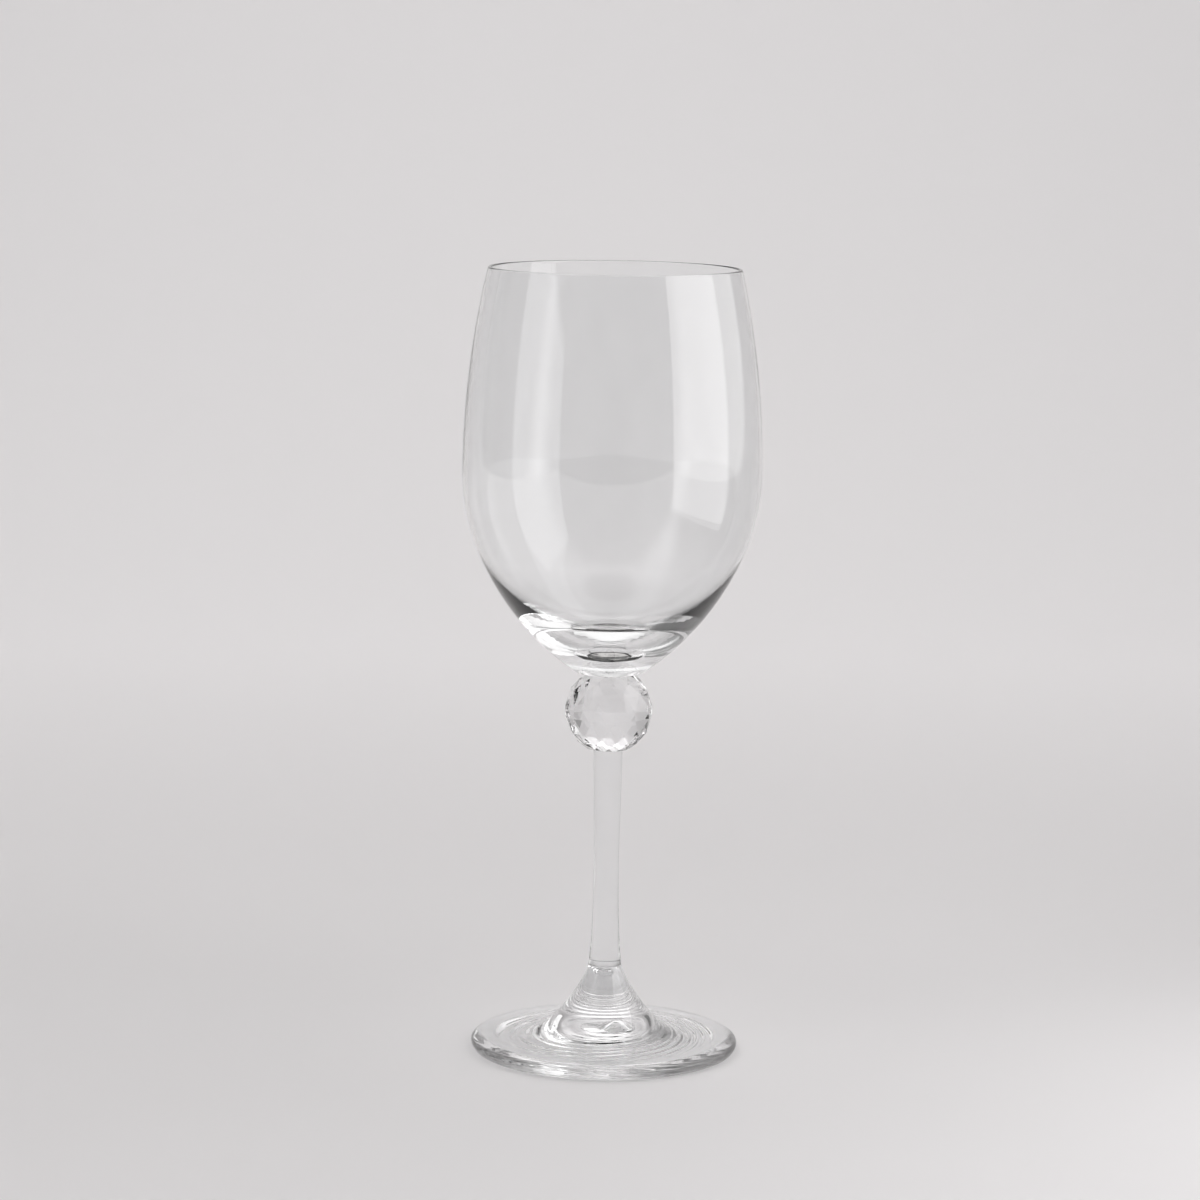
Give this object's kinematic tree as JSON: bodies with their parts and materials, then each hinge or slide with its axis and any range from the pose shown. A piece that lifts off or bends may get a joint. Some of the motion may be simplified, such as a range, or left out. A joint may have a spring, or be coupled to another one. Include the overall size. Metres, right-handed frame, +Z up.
{
  "type": "stemmed wine glass",
  "caption": "Clear stemmed wine glass: tapered blown bowl bonded to a faceted crystal ball on a slim solid stem and a flared round foot.",
  "frame": {"origin": "centre of the foot at the level of the table that the glass stands on", "axes": "+Z up along the axis of the glass, from the foot to the rim"},
  "size_m": [0.0852, 0.0852, 0.2255],
  "materials": {
    "bowl_glass": "clear blown crystal glass, fire-polished rim",
    "cut_crystal": "clear optical crystal, cut and polished flat facets",
    "stem_glass": "clear drawn crystal glass, fire-polished",
    "foot_glass": "clear pressed crystal glass, fire-polished",
    "bond_adhesive": "clear light-cured acrylic adhesive"
  },
  "bodies": {
    "root": {"bowl": "bowl_glass", "upper_bond_film": "bond_adhesive", "faceted_ball": "cut_crystal", "lower_bond_film": "bond_adhesive", "stem": "stem_glass", "foot": "foot_glass"}
  },
  "joints": []
}
